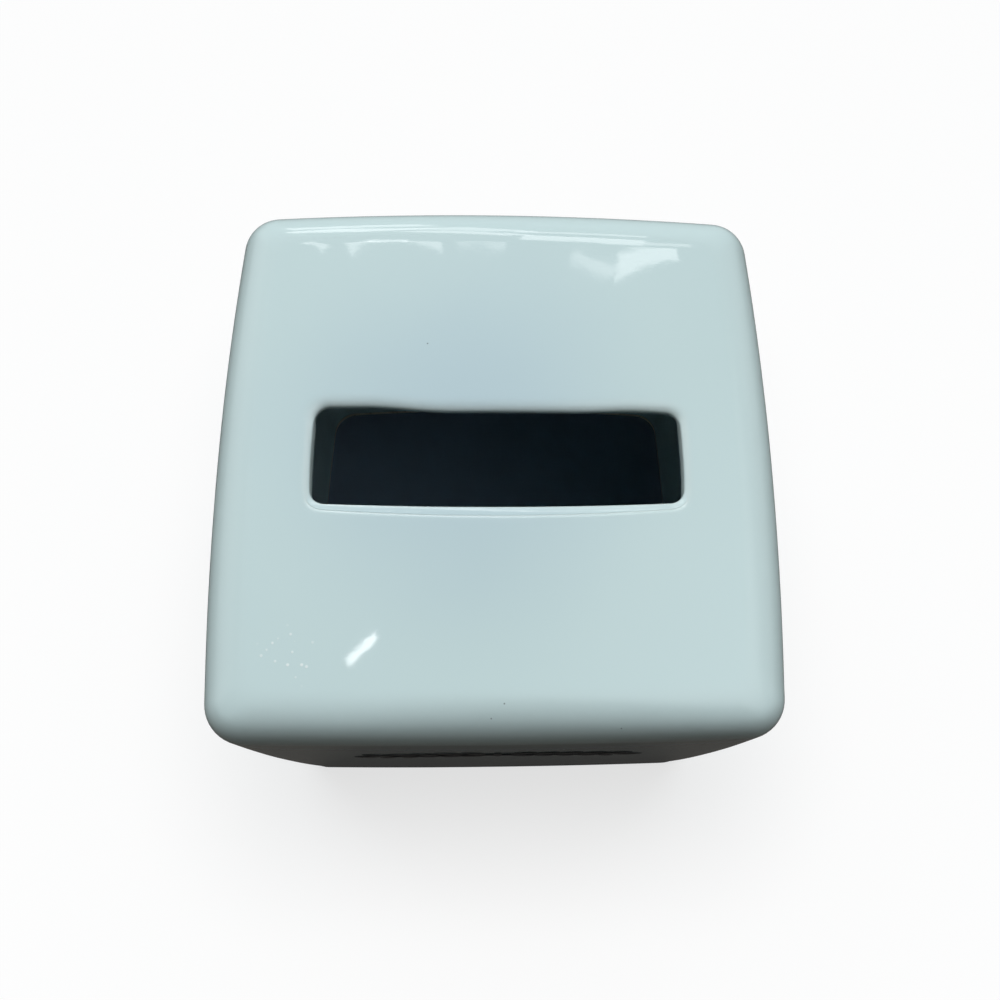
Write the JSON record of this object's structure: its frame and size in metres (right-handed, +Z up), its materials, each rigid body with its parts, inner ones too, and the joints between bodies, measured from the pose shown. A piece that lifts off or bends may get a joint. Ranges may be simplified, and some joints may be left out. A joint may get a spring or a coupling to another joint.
{
  "type": "tissue box cover",
  "caption": "Square glazed ceramic cover, open underneath, that drops over a cube of tissues; a slot in its crowned top dispenses them.",
  "frame": {"origin": "on the standing surface, under the middle of the four walls", "axes": "+Z up through the slotted top, the front with the leaf sprig faces -Y, +X to the right seen from the front"},
  "size_m": [0.14, 0.1401, 0.1399],
  "materials": {
    "bare_clay": "unglazed fired white clay, matt",
    "glaze": "glossy pale blue-green white glaze",
    "black_slip": "glossy black raised slip",
    "pad": "soft translucent bumper rubber"
  },
  "bodies": {
    "root": {"clay_body": "bare_clay", "glaze_coat": "glaze", "front_sprig": "black_slip", "foot_pad_front_left": "pad", "foot_pad_front_right": "pad", "foot_pad_back_left": "pad", "foot_pad_back_right": "pad"}
  },
  "joints": []
}
